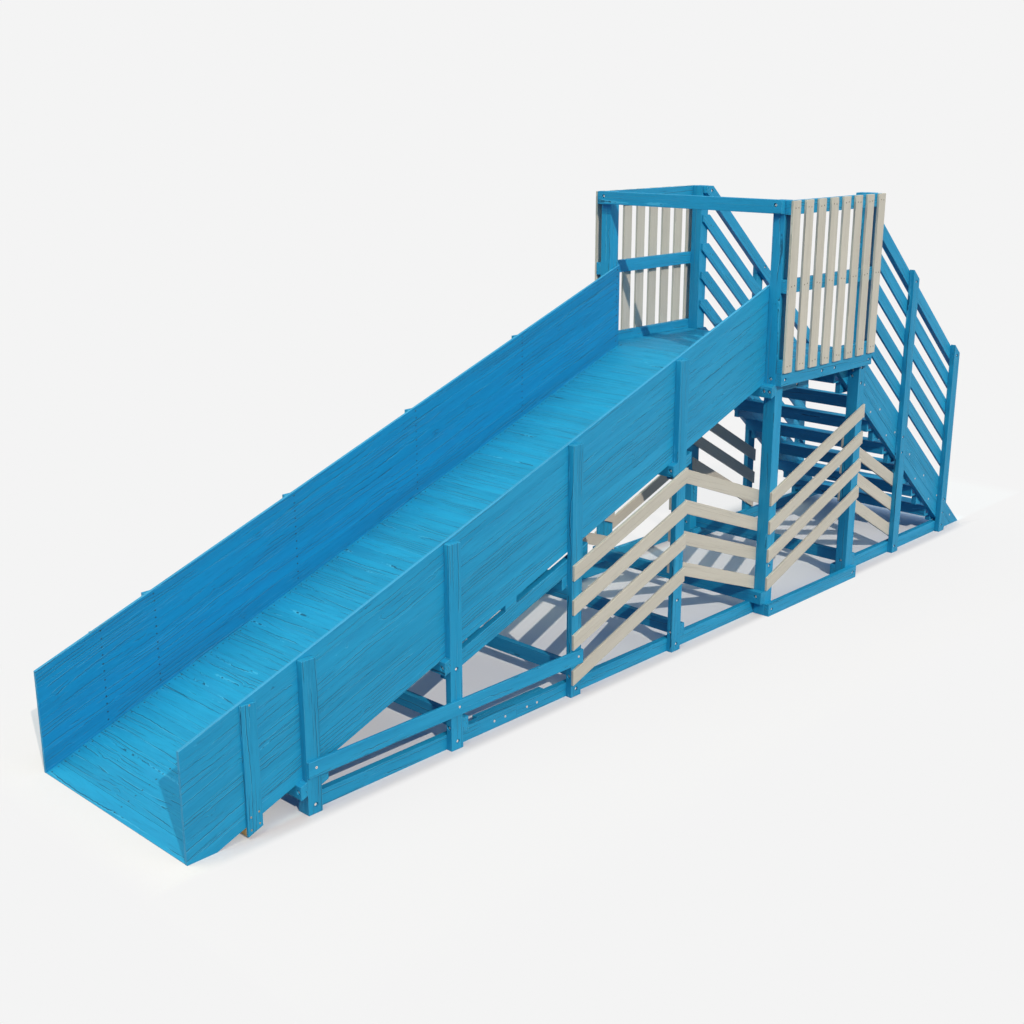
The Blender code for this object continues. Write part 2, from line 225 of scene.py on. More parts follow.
# The same spruce under two coats of cream paint: the grain shows as shallow relief, and
# the arrises, where paint is thin, show a warmer wood tone.
creamLook = dict(
    blueLook, light="#bdbbaf", mid="#b6b4a8", dark="#928f84", pale="#bfbdb2", edgeColour="#c5b99f",
    lipHighlightColour="#cac8bc", lipHighlight=0.4, line=0.45, fibre=0.18, patch=0.4, knot=0.25, tone=0.03, edge=0.6,
    relief=0.6, reliefDeep=0.0012, roughness=0.6, shine=0.4)
# Unstained sawn spruce: pale yellow with amber late wood.
bareLook = dict(
    blueLook, light="#c9ab6c", mid="#b8975a", dark="#7d5c30", pale="#d2ba84", edgeColour="#d9c190",
    lipHighlightColour="#dcc590", line=0.6, fibre=0.3, tone=0.05, edge=0.3, roughness=0.7, shine=0.25)


steelWork = {"smoother": 0.08, "rougher": 0.12, "scratches": 6, "scratch": 0.3, "scratchDeep": 0.0002}


def steelMaterial(name, look):
    # plated steel: cloudy plating, and scratches finer than the clouds
    material, tree, out = newMaterial(name)
    place = addNode(tree, "ShaderNodeTexCoord").outputs["Object"]
    cloud = addNode(tree, "ShaderNodeTexNoise", {"Vector": place, "Scale": look["cloudScale"], "Detail": 3.0})
    cloudy = cloud.outputs["Fac"]
    shade = addNode(tree, "ShaderNodeMix", {"Factor": cloudy, 6: hexColour(look["light"]),
                                            7: hexColour(look["dark"])}, data_type="RGBA").outputs[2]
    rough = addNode(tree, "ShaderNodeMapRange", {
        "Value": cloudy, "To Min": look["roughness"] - steelWork["smoother"],
        "To Max": look["roughness"] + steelWork["rougher"]}).outputs["Result"]
    scratch = addNode(tree, "ShaderNodeTexNoise", {
        "Vector": place, "Scale": look["cloudScale"] * steelWork["scratches"], "Detail": 2.0})
    bump = addNode(tree, "ShaderNodeBump", {
        "Height": scratch.outputs["Fac"], "Strength": steelWork["scratch"],
        "Distance": steelWork["scratchDeep"]}).outputs[0]
    shader = addNode(tree, "ShaderNodeBsdfPrincipled", {"Base Color": shade, "Metallic": look["metallic"],
                                                        "Roughness": rough, "Normal": bump})
    tree.links.new(shader.outputs[0], out.inputs["Surface"])
    return material


# Turned steel, electroplated: bright zinc on bolts, dull zinc and yellow chromate on screws; the
# small screws' heads are darkened past their chromate as painted shade of a recess round each.
# Clouds of plating are 2 to 4 mm wide.
boltLook = {"light": "#f6f1ec", "dark": "#ddd4cc", "cloudScale": 260.0, "roughness": 0.5, "metallic": 0.6}
# small screws' dark heads: yellow chromate darkened as painted shade of the recess round each head
screwRecessShadeLook = {"light": "#4a4228", "dark": "#282416", "cloudScale": 420.0, "roughness": 0.5, "metallic": 0.7}
paleLook = {"light": "#e6d6ca", "dark": "#cdbbae", "cloudScale": 300.0, "roughness": 0.55, "metallic": 0.4}
goldLook = {"light": "#dba93a", "dark": "#9c6c1c", "cloudScale": 380.0, "roughness": 0.5, "metallic": 0.5}

blueWood = woodMaterial("blue stained planed spruce", blueLook)
# the deeper tone on the chute walls' inner faces is painted shade
innerShadeWood = woodMaterial("blue stained planed spruce with painted shade", innerShadeLook)
creamWood = woodMaterial("cream painted planed spruce", creamLook)
bareWood = woodMaterial("sawn bare spruce", bareLook)
boltSteel = steelMaterial("zinc plated steel bolt", boltLook)
screwRecessShadeSteel = steelMaterial("yellow chromated steel screw darkened for recess shade", screwRecessShadeLook)
paleSteel = steelMaterial("dull zinc plated steel screw", paleLook)
goldSteel = steelMaterial("bright chromated steel screw", goldLook)
woods = [blueWood, creamWood, bareWood, innerShadeWood]
blueFace, creamFace, bareFace, innerShadeFace = range(4)   # places in woods
print("materials made")


def box(x0, x1, z0, z1):
    return [(x0, z0), (x1, z0), (x1, z1), (x0, z1)]


def sloped(x0, x1, under, high, slope):
    far = slope * (x1 - x0)
    return [(x0, under), (x1, under + far), (x1, under + far + high), (x0, under + high)]


def keepSide(outline, x, z, nx, nz):
    # cuts a side view along the line through (x, z), keeps the side n points to
    kept = []
    for i, (ax, az) in enumerate(outline):
        bx, bz = outline[(i + 1) % len(outline)]
        da = (ax - x) * nx + (az - z) * nz
        db = (bx - x) * nx + (bz - z) * nz
        if da >= 0:
            kept.append((ax, az))
        if da * db < 0:
            t = da / (da - db)
            kept.append((ax + t * (bx - ax), az + t * (bz - az)))
    return kept


def above(outline, z):
    return keepSide(outline, 0, z, 0, 1)


def below(outline, z):
    return keepSide(outline, 0, z, 0, -1)


def chuteLine(exitHeight, x):
    return exitHeight + chute["slope"] * (x - exitX)


def stairLine(height, x):
    return height - stairSlope * (x - stairX[0])


def between(line, x0, x1, under, top):
    # side view of a board that follows the chute's or the stairs' line
    return [(x0, line(under, x0)), (x1, line(under, x1)), (x1, line(top, x1)), (x0, line(top, x0))]


def addItem(name, data):
    item = bpy.data.objects.new(name, data)
    bpy.context.scene.collection.objects.link(item)
    return item


def newStack():
    return {"points": [], "faces": [], "slots": [], "grain": [], "tone": [], "rim": []}


boreWork = {"radius": 0.0140, "deep": 0.016, "proud": 0.01, "sides": 28, "headDown": 0.007}
boardWork = {"arris": 0.0020, "arrisSteps": 2, "arrisWear": 0.45,
             "pithNear": 0.012, "pithFar": 0.050, "pithSide": 0.110, "logLong": 40}


def boreCutter(bores):
    # counterbores: (axis, a, b, face, way) with a, b the other two coordinates
    mesh = bmesh.new()
    for axis, a, b, face, way in bores:
        deep, proud = boreWork["deep"], boreWork["proud"]
        turn = Matrix.Rotation(math.pi / 2, 4, "X" if axis == "y" else "Y")
        middle = face + way * (proud - deep) / 2
        at = Vector((a, middle, b)) if axis == "y" else Vector((middle, a, b))
        bmesh.ops.create_cone(mesh, cap_ends=True, segments=boreWork["sides"], radius1=boreWork["radius"],
                              radius2=boreWork["radius"], depth=deep + proud,
                              matrix=Matrix.Translation(at) @ turn)
    data = bpy.data.meshes.new("bore")
    mesh.to_mesh(data)
    mesh.free()
    return data


def drilled(data, bores):
    # real holes, cut once and kept in the mesh
    block, cutter = addItem("block", data), addItem("cutter", boreCutter(bores))
    cut = block.modifiers.new("Bore", "BOOLEAN")
    cut.operation = "DIFFERENCE"
    cut.solver = "EXACT"
    cut.object = cutter
    graph = bpy.context.evaluated_depsgraph_get()
    result = bpy.data.meshes.new_from_object(block.evaluated_get(graph))
    for item in (block, cutter):
        bpy.data.objects.remove(item, do_unlink=True)
    return result


def addBoard(stack, outline, y0, y1, along, wood=blueFace, bores=(), arris=None, sawn=0.0):
    # one planed board: side view in X and Z between two Ys, with rounded arrises;
    # sawn is how pale its narrow edges are
    half = gap / 2
    low, high = min(y0, y1) + half, max(y0, y1) - half
    mesh = bmesh.new()
    front = [mesh.verts.new((x, low, z)) for x, z in outline]
    back = [mesh.verts.new((x, high, z)) for x, z in outline]
    mesh.faces.new(front)
    mesh.faces.new(list(reversed(back)))
    for i in range(len(front)):
        j = (i + 1) % len(front)
        mesh.faces.new([front[j], front[i], back[i], back[j]])
    bmesh.ops.recalc_face_normals(mesh, faces=mesh.faces)
    flat = mesh.faces.layers.int.new("flat")
    for face in mesh.faces:
        face[flat] = 1
    made = bmesh.ops.bevel(mesh, geom=list(mesh.edges), offset=arris or boardWork["arris"],
                           offset_type="OFFSET", segments=boardWork["arrisSteps"], profile=0.5,
                           affect="EDGES", clamp_overlap=True)
    for face in made["faces"]:
        face[flat] = 0
    data = bpy.data.meshes.new("board")
    mesh.to_mesh(data)
    mesh.free()
    if bores:
        data = drilled(data, bores)
    flats = data.attributes["flat"].data
    # grain axes: along the board, across its wide face, through its thickness
    across = alongY.cross(along) if abs(along.y) < 0.5 else alongX
    through = along.cross(across)
    start = Vector((dice.uniform(0, boardWork["logLong"]), dice.uniform(-1, 1) * boardWork["pithSide"],
                    dice.uniform(boardWork["pithNear"], boardWork["pithFar"]) * dice.choice((-1, 1))))
    corners = [v.co.copy() for v in data.vertices]
    middle = sum(corners, Vector()) / len(corners)
    first = len(stack["points"])
    stack["points"] += corners
    for p in corners:
        q = p - middle
        stack["grain"].append((q.dot(along) + start.x, q.dot(across) + start.y, q.dot(through) + start.z))
    stack["tone"] += [dice.random()] * len(corners)
    for number, face in enumerate(data.polygons):
        stack["faces"].append([first + v for v in face.vertices])
        stack["slots"].append(wood)
        pale = 0.0 if abs(face.normal.dot(through)) > 0.7 else sawn   # wide faces are stained all over
        stack["rim"].append(pale if flats[number].value else max(sawn, boardWork["arrisWear"]))
    bpy.data.meshes.remove(data)


def addSlope(stack, x0, x1, under, high, slope, y0, y1, wood=blueFace):
    # a board that rises by slope
    addBoard(stack, sloped(x0, x1, under, high, slope), y0, y1, Vector((1, 0, slope)).normalized(), wood)


def boardPiece(node, stack, kind="boards"):
    # turns a stack of boards into the piece that stands for a CAD node
    data = bpy.data.meshes.new(f"{node}_{kind}")
    data.from_pydata(stack["points"], [], stack["faces"])
    used = sorted(set(stack["slots"]))
    for wood in used:
        data.materials.append(woods[wood])
    data.polygons.foreach_set("material_index", [used.index(s) for s in stack["slots"]])
    grain = data.attributes.new("grain", "FLOAT_VECTOR", "POINT")
    grain.data.foreach_set("vector", [c for p in stack["grain"] for c in p])
    data.attributes.new("tone", "FLOAT", "POINT").data.foreach_set("value", stack["tone"])
    data.attributes.new("rim", "FLOAT", "FACE").data.foreach_set("value", stack["rim"])
    data.update()
    piece = addItem(data.name, data)
    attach(piece, "root")
    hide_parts(node)


def singlePiece(node, outline, y0, y1, along, kind="board", slot="blue_stain", **wishes):
    # a piece that is one board
    stack = newStack()
    addBoard(stack, outline, y0, y1, along, **wishes)
    boardPiece(node, stack, kind)


# fastener heads: lathe profiles of (radius, height over the wood) and how deep the recess is pinched
screwWork = {"profile": [(0, -0.0012), (0.0022, -0.0012), (0.0026, 0.0004), (0.0046, 0.0003),
                         (0.0052, -0.0002), (0.0030, -0.0030)], "sides": 12, "star": 0.45}
boltWork = {"profile": [(0, -0.0020), (0.0026, -0.0020), (0.0030, 0.0004), (0.0074, 0.0000),
                        (0.0086, -0.0010), (0.0088, -0.0055), (0.0100, -0.0060), (0.0102, -0.0090)],
            "sides": 20, "star": 0.0}
plugWork = {"profile": [(0, -0.0008), (0.0024, -0.0008), (0.0028, 0.0008), (0.0074, 0.0006),
                        (0.0080, -0.0002), (0.0050, -0.0030)], "sides": 12, "star": 0.4}
nutWork = {"profile": [(0, 0.0075), (0.0042, 0.0075), (0.0046, 0.0040), (0.0100, 0.0036), (0.0108, 0.0026),
                       (0.0108, -0.0030), (0.0150, -0.0036), (0.0150, -0.0052)], "sides": 18, "star": 0.0}


def turned(profile, sides, star):
    points, faces = [(0, 0, profile[0][1])], []
    for ringNumber, (radius, height) in enumerate(profile[1:]):
        for i in range(sides):
            reach = radius * (1 - (star if ringNumber == 0 and i % 2 else 0.0))
            turn = 2 * math.pi * i / sides
            points.append((reach * math.cos(turn), reach * math.sin(turn), height))
    for i in range(sides):
        faces.append((0, 1 + i, 1 + (i + 1) % sides))
    for ringNumber in range(len(profile) - 2):
        a, b = 1 + ringNumber * sides, 1 + (ringNumber + 1) * sides
        for i in range(sides):
            j = (i + 1) % sides
            faces.append((a + i, b + i, b + j, a + j))
    last = 1 + (len(profile) - 2) * sides
    faces.append(tuple(last + i for i in reversed(range(sides))))
    return points, faces


def fastenerPiece(name, work, places, material):
    # places: (point on the surface, outward normal)
    corners, rings = turned(**work)
    points, faces = [], []
    for at, normal in places:
        spin = Matrix.Rotation(dice.uniform(0, 6.28), 3, "Z")
        turn = Vector(normal).to_track_quat("Z", "Y").to_matrix() @ spin
        first = len(points)
        points += [Vector(at) + turn @ Vector(p) for p in corners]
        faces += [[first + i for i in face] for face in rings]
    data = bpy.data.meshes.new(name)
    data.from_pydata(points, [], faces)
    data.materials.append(material)
    data.update()
    piece = addItem(name, data)
    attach(piece, "root")


# where fasteners go, filled in as the boards are laid
screws = {"chute": [], "platform": [], "stair": []}
bolts, pales, golds, nuts = [], [], [], []


def boreAt(axis, a, b, face, way):
    # notes a counterbored bolt and gives the bore for the board it sits in
    seat = face - way * boreWork["headDown"]
    if axis == "y":
        bolts.append(((a, seat, b), (0, way, 0)))
    else:
        bolts.append(((seat, a, b), (way, 0, 0)))
    return (axis, a, b, face, way)


def sideBores(places, y, way):
    # bores in a face that looks sideways, at (x, z)
    return [boreAt("y", x, z, y, way) for x, z in places]


def endBores(places, x, across=(-1, 1)):
    # bores in a face that looks at the exit, at (y, z) on both sides or on one
    return [boreAt("x", side * y, z, x, -1) for side in across for y, z in places]


wallWork = {
    "boards": 7, "pitch": 0.1025, "joint": 0.0012, "arris": 0.0009, "uneven": 0.0004, "innerShadeDeep": 0.003,
    "topPale": 1.0, "edgePale": 0.35,   # how pale the topmost and the other boards' narrow edges are
    "endScrews": [-3.751, 0.893], "screwApart": 0.0235, "screwClear": 0.006, "strayX": 0.002, "strayZ": 0.003,
}


def chuteWalls():
    work = wallWork
    endX = towerX[0] + board
    stations = [work["endScrews"][0], *(x + board / 2 for x in postX), work["endScrews"][1]]
    for word, side in sides:
        stack = newStack()
        for number in range(work["boards"]):
            top = chute["wallTop"] - number * work["pitch"]
            under = max(top - work["pitch"] + work["joint"], chute["wallUnder"])
            outline = above(between(chuteLine, exitX, endX, under, top), 0)
            shift = dice.uniform(0, work["uneven"])
            addBoard(stack, outline, side * (wallIn + shift), side * (wallOut - shift), chuteAlong,
                     arris=work["arris"], sawn=work["edgePale"] if number else work["topPale"])
            for x in stations:
                middle = chuteLine(top - work["pitch"] / 2, x)
                for z in (middle - work["screwApart"], middle + work["screwApart"]):
                    if z < chuteLine(chute["wallUnder"], x) + work["screwClear"]:
                        continue
                    spot = (x + dice.uniform(-work["strayX"], work["strayX"]), side * wallIn,
                            z + dice.uniform(-work["strayZ"], work["strayZ"]))
                    screws["chute"].append((spot, (0, -side, 0)))
        # the faces that look into the chute take the deeper tone: painted shade for the dimmer light inside
        # it
        for number, face in enumerate(stack["faces"]):
            if all(abs(stack["points"][v][1]) < wallIn + work["innerShadeDeep"] for v in face):
                stack["slots"][number] = innerShadeFace
        boardPiece(f"chute_wall_{word}", stack)


floorWork = {"joint": 0.0018, "arris": 0.0014, "uneven": 0.0005,
             "screwRows": [-0.685, 0.0, 0.685], "screwShares": (0.25, 0.75), "stray": 0.003}


def chuteFloor():
    work = floorWork
    endX = towerX[0] + board
    pitch, half = board * chuteAlong.x, work["joint"] / 2
    normal = Vector((-chuteAlong.z, 0, chuteAlong.x))
    stack = newStack()
    x = exitX
    while x < endX - 0.01:
        far = min(x + pitch, endX)
        drop = dice.uniform(0, work["uneven"])
        top, topFar = (chuteLine(chute["floorTop"], v) - drop for v in (x, far))
        plumb = chute["floorPlumb"] - drop
        outline = above([(x + half, top - plumb), (far - half, topFar - plumb),
                         (far - half, topFar), (x + half, top)], 0)
        addBoard(stack, outline, -wallIn, wallIn, alongY, arris=work["arris"])
        for share in work["screwShares"]:
            for y in work["screwRows"]:
                sx = x + share * (far - x)
                sy = y + dice.uniform(-work["stray"], work["stray"])
                screws["chute"].append((Vector((sx, sy, chuteLine(chute["floorTop"], sx) - drop)), normal))
        x = far
    runnerTop = chute["floorTop"] - chute["floorPlumb"]
    runner = above(between(chuteLine, exitX, endX, chute["wallUnder"], runnerTop), 0)
    for y0, y1 in ((-wallIn, -wallIn + thick), (-thick / 2, thick / 2), (wallIn - thick, wallIn)):
        addBoard(stack, runner, y0, y1, chuteAlong)
    boardPiece("chute_floor", stack)


# the battens' screws stand at (x, z) from the lower corner, one more under the top
battenWork = {"x": exitX + 0.364, "top": 0.760, "drop": 0.050,
              "screws": [(0.020, 0.035), (0.075, 0.055), (0.022, 0.109), (0.073, 0.124)],
              "topScrew": (0.052, 0.008)}


def exitBattens():
    work = battenWork
    x, drop, top = work["x"], work["drop"], work["top"]
    under = chuteLine(chute["wallUnder"], x) - drop
    outline = [(x, under), (x + board, under + chute["slope"] * board), (x + board, top), (x, top)]
    for word, side in sides:
        face = side * (wallOut + thin)
        singlePiece(f"exit_batten_{word}", outline, side * wallOut, face, alongZ)
        golds.extend(((x + dx, face, under + dz), (0, side, 0)) for dx, dz in work["screws"])
        golds.append(((x + work["topScrew"][0], face, top - work["topScrew"][1]), (0, side, 0)))
    singlePiece("exit_joist", sloped(x, x + board, under, drop, chute["slope"]), -wallOut, wallOut,
                alongY, "beam", "bare_spruce", wood=bareFace)


# the lattice slats' under edges where each row starts, and the blocks that carry the chute
latticeWork = {
    "high": 0.101, "slope": 0.365, "low": [0.804, 0.572, 0.334, 0.090], "inner": [0.866, 0.648, 0.420, 0.192],
    "tower": [0.860, 0.641, 0.421, 0.199], "towerSlope": 0.376,
    "blockDrop": 0.045, "blockHigh": 0.080, "blockReach": {0: 0.179, 3: 0.215},
}
# bolts of slide posts from the post's edge, of tower posts at their place
postWork = {
    "outerBolts": [[(0.052, 0.051)], [(0.052, 0.051), (0.049, 0.515)], [(0.052, 0.051)],
                   [(0.052, 0.051), (0.049, 0.377)]],
    "beamBolts": [(0.755, 0.146)],
    "frontEnd": [(0.783, 1.802)], "frontOuter": [(0.876, 0.384)],
    "backOuter": [(2.045, 1.731), (2.045, 1.607)],
    "backEnd": [(0.778, 0.144), (0.770, 1.710), (0.768, 1.662)],
}


def slidePosts():
    work = latticeWork
    high, slope = work["high"], work["slope"]
    for number, x in enumerate(postX):
        for word, side in sides:
            stack = newStack()
            bores = sideBores([(x + a, z) for a, z in postWork["outerBolts"][number]], side * postOut, side)
            if number >= 1:
                bores += endBores(postWork["beamBolts"], x, [side])
            addBoard(stack, box(x, x + board, 0, sizes["postTop"][number]), side * wallOut, side * postOut,
                     alongZ, bores=bores)
            if number in work["blockReach"]:
                under = chuteLine(chute["wallUnder"], x) - work["blockDrop"] - work["blockHigh"]
                block = sloped(x, x + work["blockReach"][number], under, work["blockHigh"], chute["slope"])
                addBoard(stack, above(block, board), side * wallOut, side * beamIn, chuteAlong)
            if number == 2:   # slats that rise towards the tower, outside the posts
                for z in work["low"]:
                    addSlope(stack, x, postX[3] + board, z, high, slope,
                             side * postOut, side * (postOut + thin), creamFace)
            if number == 3:   # slats that fall towards the tower, inside the posts
                far = towerX[0]
                for z in work["inner"]:
                    addSlope(stack, x, far + board, z - slope * (x - far), high, -slope,
                             side * wallOut, side * wallIn, creamFace)
            boardPiece(f"slide_post_{number + 1}_{word}", stack)


def towerPosts():
    work = latticeWork
    for word, side in sides:
        ys = side * towerIn, side * towerOut
        bores = endBores(postWork["frontEnd"], towerX[0], [side])
        bores += sideBores(postWork["frontOuter"], side * towerOut, side)
        singlePiece(f"tower_post_front_{word}", box(towerX[0], towerX[0] + board, 0, sizes["towerHigh"]),
                    *ys, alongZ, bores=bores)
        stack = newStack()
        bores = sideBores(postWork["backOuter"], side * towerOut, side)
        bores += endBores(postWork["backEnd"], towerX[1], [side])
        addBoard(stack, box(towerX[1], towerEnd, 0, sizes["towerHigh"]), *ys, alongZ, bores=bores)
        for z in work["tower"]:
            addSlope(stack, towerX[0], towerEnd, z, work["high"], work["towerSlope"],
                     side * towerOut, side * (towerOut + thin), creamFace)
        boardPiece(f"tower_post_back_{word}", stack)


# the third joist lies on the splice beams; bolts at (y, z over the joist's under edge)
joistWork = {
    "high": 0.080, "onSplice": 2, "bridge": [-1.859, -1.763],
    "spliceUnder": 0.452, "spliceSlope": 0.358, "spliceHigh": 0.101, "spliceEnd": -1.102,
    "bolts": [[(0.752, 0.043)], [(0.752, 0.043)], [], [(0.752, 0.043)], [(0.761, 0.045), (0.807, 0.045)]],
}


def joistsAndSplices():
    work = joistWork
    for number, x in enumerate(postX + [towerX[0]]):
        left = x - thick
        reach = towerOut if number == len(postX) else postOut
        slope = chute["slope"]
        under = chuteLine(chute["wallUnder"], left) - work["high"]
        if number == work["onSplice"]:
            reach, slope = wallOut, work["spliceSlope"]
            under = work["spliceUnder"] + slope * (left - postX[1]) - work["high"]
        bores = endBores([(y, under + z) for y, z in work["bolts"][number]], left)
        singlePiece(f"chute_joist_{number + 1}", sloped(left, x, under, work["high"], slope),
                    -reach, reach, alongY, "beam", "blue_stain_shaded", bores=bores)
    under, high, slope = work["spliceUnder"], work["spliceHigh"], work["spliceSlope"]
    a, b = work["bridge"]   # the short board between a splice beam and the chute
    low = [(v, under + high + slope * (v - postX[1])) for v in (a, b)]
    top = [(v, chuteLine(chute["wallUnder"], v)) for v in (b, a)]
    for word, side in sides:
        stack = newStack()
        ys = side * beamIn, side * wallOut
        addSlope(stack, postX[1], work["spliceEnd"], under, high, slope, *ys)
        addBoard(stack, low + top, *ys, Vector((1, 0, slope)).normalized())
        boardPiece(f"splice_beam_{word}", stack)


baseWork = {"guardUnder": 0.2275, "guardScrew": (0.050, 0.054), "jointX": -1.767, "spliceX": [-2.067, -1.467],
            "spliceScrews": [-1.961, -1.865, -1.669, -1.576], "spliceScrewZ": 0.048,
            "towerBolts": [(0.876, 0.049), (2.047, 0.050)], "beamBolts": [(0.780, 0.149)],
            "boltedBeam": 3, "nut": (0.756, 0.146)}


def baseFrame():
    work = baseWork
    for word, side in sides:
        low = work["guardUnder"]
        outer = side * (postOut + thin)
        ys = side * beamIn, side * wallOut
        singlePiece(f"guard_board_{word}", box(postX[0], postX[2] + board, low, low + board),
                    side * postOut, outer, alongX)
        for x in postX[:3]:
            pales.append(((x + work["guardScrew"][0], outer, low + work["guardScrew"][1]), (0, side, 0)))
        stack = newStack()
        addBoard(stack, box(postX[0], work["jointX"], 0, board), *ys, alongX)
        addBoard(stack, box(work["jointX"], towerX[0] + board, 0, board), *ys, alongX)
        boardPiece(f"slide_base_rail_{word}", stack)
        singlePiece(f"base_splice_{word}", box(*work["spliceX"], 0, board), side * (beamIn - thick),
                    side * beamIn, alongX)
        for x in work["spliceScrews"]:
            pales.append(((x, side * wallOut, work["spliceScrewZ"]), (0, side, 0)))
        singlePiece(f"tower_base_rail_{word}", box(towerX[0], towerEnd, 0, board), side * towerOut,
                    side * railOut, alongX, bores=sideBores(work["towerBolts"], side * railOut, side))
        foot = stairX[0] + stair["stringerUnder"] / stairSlope
        rail = keepSide(box(towerX[1], stairX[1] + board, 0, board), foot, 0, -stairSlope, -1)
        singlePiece(f"stair_base_rail_{word}", rail, *ys, alongX)
    stations = [(x + board, postOut) for x in postX[1:]]
    stations += [(towerX[0] - thick, towerOut), (towerEnd, towerOut)]
    for number, (x, reach) in enumerate(stations):
        bores = endBores(work["beamBolts"], x) if number == work["boltedBeam"] else []
        if number < work["boltedBeam"]:
            nuts.extend(((x + thick, side * work["nut"][0], work["nut"][1]), (1, 0, 0)) for _, side in sides)
        singlePiece(f"base_beam_{number + 1}", box(x, x + thick, board, 2 * board), -reach, reach,
                    alongY, "beam", "blue_stain_shaded", bores=bores)


platformWork = {
    "rimBolts": [(0.883, 1.800), (1.378, 1.800), (1.555, 1.800), (2.054, 1.800)],
    "rails": [deckUnder, 2.420, 2.963], "slats": 8, "slatStart": 0.834, "slatPitch": 0.1666,
    "slatLift": 0.002, "slatShort": 0.001, "slatScrews": (0.029, 0.066), "screwShare": 0.52, "stray": 0.006,
    "deckBoards": 11, "deckJoint": 0.0012, "deckRows": (-0.70, -0.25, 0.25, 0.70), "deckShares": (0.25, 0.75),
    "joistX": [0.925, 1.375, 1.820], "joistUnder": 1.757,
    "sideBeamEnd": 1.429, "sideBeamHigh": 0.085, "sideBolt": [(1.273, 1.697)],
    "topBeamUnder": 2.969, "topBolts": [(0.777, 3.028)],
}


def platform():
    work = platformWork
    for word, side in sides:
        ys = side * towerOut, side * railOut
        face = side * (railOut + thin)
        singlePiece(f"platform_rim_{word}", box(towerX[0], towerEnd, deckUnder - board, deckUnder),
                    *ys, alongX, bores=sideBores(work["rimBolts"], side * railOut, side))
        stack = newStack()
        for z in work["rails"]:
            addBoard(stack, box(towerX[0], towerEnd, z, z + board), *ys, alongX)
        for number in range(work["slats"]):
            x = work["slatStart"] + work["slatPitch"] * number
            slat = box(x, x + board, deckUnder + work["slatLift"], sizes["towerHigh"] - work["slatShort"])
            addBoard(stack, slat, side * railOut, face, alongZ, wood=creamFace)
            for z in work["rails"]:
                for dx in work["slatScrews"]:
                    high = z + board * work["screwShare"] + dice.uniform(-work["stray"], work["stray"])
                    screws["platform"].append(((x + dx, face, high), (0, side, 0)))
        boardPiece(f"platform_railing_{word}", stack)
        under = work["joistUnder"]
        outline = box(towerX[0], work["sideBeamEnd"], under - work["sideBeamHigh"], under)
        singlePiece(f"side_beam_{word}", outline, side * beamIn, side * wallOut, alongX,
                    bores=sideBores(work["sideBolt"], side * wallOut, side))
    stack = newStack()
    first, half = towerX[0] + board, work["deckJoint"] / 2
    wide = (towerX[1] - first) / work["deckBoards"]
    for number in range(work["deckBoards"]):
        x = first + wide * number
        addBoard(stack, box(x + half, x + wide - half, deckUnder, deckTop), -towerOut, towerOut, alongY)
        for y in work["deckRows"]:
            for share in work["deckShares"]:
                screws["platform"].append(((x + share * wide, y, deckTop), (0, 0, 1)))
    for x in work["joistX"]:
        addBoard(stack, box(x, x + thick, work["joistUnder"], deckUnder), -towerOut, towerOut, alongY)
    boardPiece("platform_deck", stack)
    x, z = towerX[0] - thick, work["topBeamUnder"]
    singlePiece("top_beam", box(x, towerX[0], z, z + board), -towerOut, towerOut, alongY,
                bores=endBores(work["topBolts"], x))


stairWork = {
    "startX": 1.865, "joint": 0.0012, "cleatX": 0.084,
    "strips": 4, "boardGap": 0.003, "treadShares": (0.28, 0.72),
    "plugs": [(2.216, 1.567), (2.268, 1.550), (2.397, 1.308), (2.548, 1.305), (2.688, 1.063), (2.833, 1.064),
              (3.123, 0.821), (3.261, 0.579), (3.416, 0.578), (3.547, 0.336), (3.697, 0.337), (3.991, 0.094)],
}
treadDeep = stairWork["strips"] * board + (stairWork["strips"] - 1) * stairWork["boardGap"]


def stairStringers():
    work = stairWork
    start, end = work["startX"], exitX + sizes["length"]
    middle, half = (stair["stringerTop"] + stair["stringerUnder"]) / 2, work["joint"] / 2
    for word, side in sides:
        stack = newStack()
        for under, top in ((stair["stringerUnder"], middle - half), (middle + half, stair["stringerTop"])):
            outline = below(above(between(stairLine, start, end, under, top), 0), deckUnder)
            addBoard(stack, outline, side * beamIn, side * wallOut, stairAlong)
        for number in range(1, stair["count"] + 1):   # cleats under the treads
            x = stair["firstX"] + stair["run"] * (number - 1) + work["cleatX"]
            high = deckTop - stair["rise"] * number - thin
            addBoard(stack, box(x, x + treadDeep - work["cleatX"], max(high, 2 * board) - board, high),
                     side * beamIn, side * (beamIn - thick), alongX)
        boardPiece(f"stair_stringer_{word}", stack)
        pales.extend(((x, side * wallOut, z), (0, side, 0)) for x, z in work["plugs"])


def stairTreads():
    work = stairWork
    for number in range(1, stair["count"] + 1):
        stack = newStack()
        x = stair["firstX"] + stair["run"] * (number - 1)
        top = deckTop - stair["rise"] * number
        addBoard(stack, box(x - thin, x, top - thin, top - thin + board), -beamIn, beamIn, alongY)
        for strip in range(work["strips"]):
            left = x + strip * (board + work["boardGap"])
            addBoard(stack, box(left, left + board, top - thin, top), -beamIn, beamIn, alongY)
            for _, side in sides:
                for share in work["treadShares"]:
                    spot = (left + share * board, side * (beamIn - thick / 2), top)
                    screws["stair"].append((spot, (0, 0, 1)))
        boardPiece(f"tread_{number}", stack)


